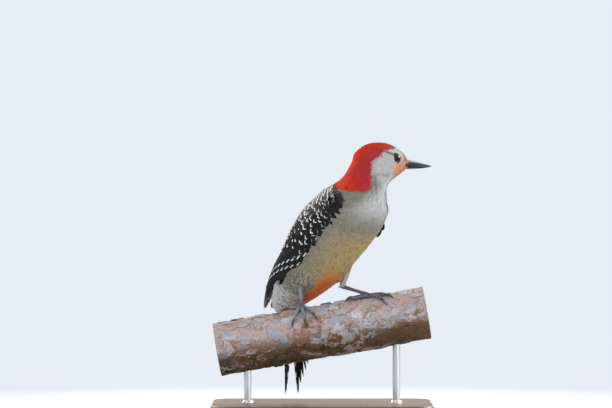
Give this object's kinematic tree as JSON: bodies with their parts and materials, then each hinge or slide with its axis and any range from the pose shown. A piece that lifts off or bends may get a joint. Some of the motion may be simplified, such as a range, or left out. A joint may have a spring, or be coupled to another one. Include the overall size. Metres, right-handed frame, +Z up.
{
  "type": "woodpecker display model",
  "caption": "Still, life-size adult male red-bellied woodpecker gripping a cut length of branch, head turned, tail braced behind it, on a flat base with rods.",
  "frame": {"origin": "centre of the display base's flat underside, the level that the model stands on", "axes": "+Z up; +X along the base towards the side that the head faces; +Y towards the back, where the tail hangs behind the branch"},
  "size_m": [0.172, 0.112, 0.2165],
  "materials": {
    "red_feathers": "glossy red crown and nape feathers over grey cheeks",
    "grey_feathers": "soft olive-buff grey body feathers",
    "barred_feathers": "black feathers with white bars and spots",
    "bill_horn": "dark slate horn with a soft shine",
    "eye": "dark red-brown iris under a clear wet cornea",
    "leg_skin": "blue-grey scaled skin",
    "claw_horn": "dark grey horn",
    "bark": "flaking pinkish-grey and orange-brown pine bark, pale sawn ends",
    "base_wood": "plain dark walnut with a satin varnish",
    "rod_steel": "plain brushed steel rods"
  },
  "bodies": {
    "root": {"head": "red_feathers", "neck": "red_feathers", "trunk": "grey_feathers", "bill_upper": "bill_horn", "bill_lower": "bill_horn", "tail": "barred_feathers", "perch": "bark", "stand_base": "base_wood", "stand_rod_1": "rod_steel", "stand_rod_2": "rod_steel", "eye_right": "eye", "wing_right": "barred_feathers", "thigh_right": "grey_feathers", "tarsus_right": "leg_skin", "toes_right": "leg_skin", "claw_right_1": "claw_horn", "claw_right_2": "claw_horn", "claw_right_3": "claw_horn", "claw_right_4": "claw_horn", "eye_left": "eye", "wing_left": "barred_feathers", "thigh_left": "grey_feathers", "tarsus_left": "leg_skin", "toes_left": "leg_skin", "claw_left_1": "claw_horn", "claw_left_2": "claw_horn", "claw_left_3": "claw_horn", "claw_left_4": "claw_horn"}
  },
  "joints": []
}
